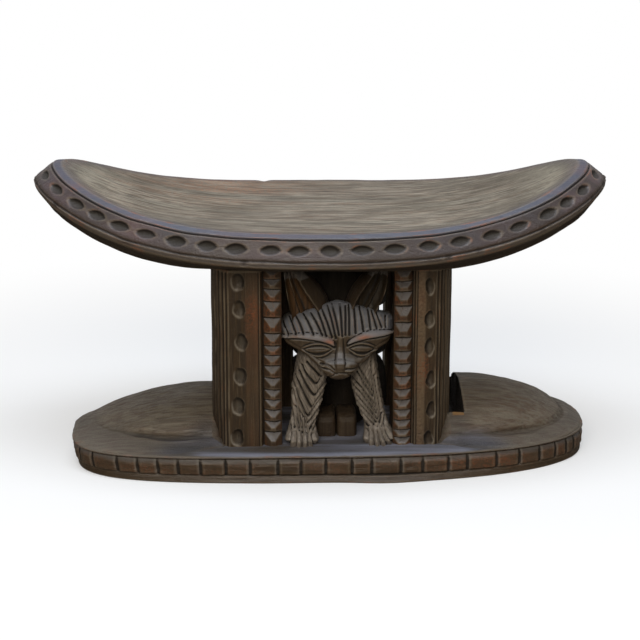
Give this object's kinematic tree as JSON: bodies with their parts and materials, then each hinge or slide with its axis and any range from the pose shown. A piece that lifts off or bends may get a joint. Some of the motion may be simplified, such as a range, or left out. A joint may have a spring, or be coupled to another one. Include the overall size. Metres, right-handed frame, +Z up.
{
  "type": "carved animal stool",
  "caption": "Carved hardwood stool: crescent seat with a pitted edge band on grooved corner posts round a seated cat, over an oval brick-cut base with domed ends.",
  "frame": {"origin": "on the floor at the middle of the bounding box, under the middle of the seat", "axes": "+X along the seat to the cat's left-hand post as seen from the front, +Y to the rear, +Z up; the face looks along -Y"},
  "size_m": [0.56, 0.274, 0.292],
  "materials": {
    "seat_wood": "dark stained hardwood, satin, worn paler on top",
    "base_wood": "dark stained hardwood, satin, worn edges",
    "mound_wood": "dark stained hardwood, satin, dusty grey sheen",
    "post_wood": "dark stained hardwood, satin, red-brown wear",
    "cat_wood": "dark stained hardwood, satin, polished ridges",
    "inner_wood": "near-black stained hardwood in the recess behind the face"
  },
  "bodies": {
    "root": {"seat": "seat_wood", "base": "base_wood", "left_mound": "mound_wood", "right_mound": "mound_wood", "front_left_post": "post_wood", "front_right_post": "post_wood", "rear_left_post": "post_wood", "rear_right_post": "post_wood", "torso": "inner_wood", "left_haunch": "inner_wood", "right_haunch": "inner_wood", "left_hind_paw": "inner_wood", "right_hind_paw": "inner_wood", "left_foreleg": "cat_wood", "right_foreleg": "cat_wood", "head": "cat_wood", "left_ear": "cat_wood", "right_ear": "cat_wood"}
  },
  "joints": []
}
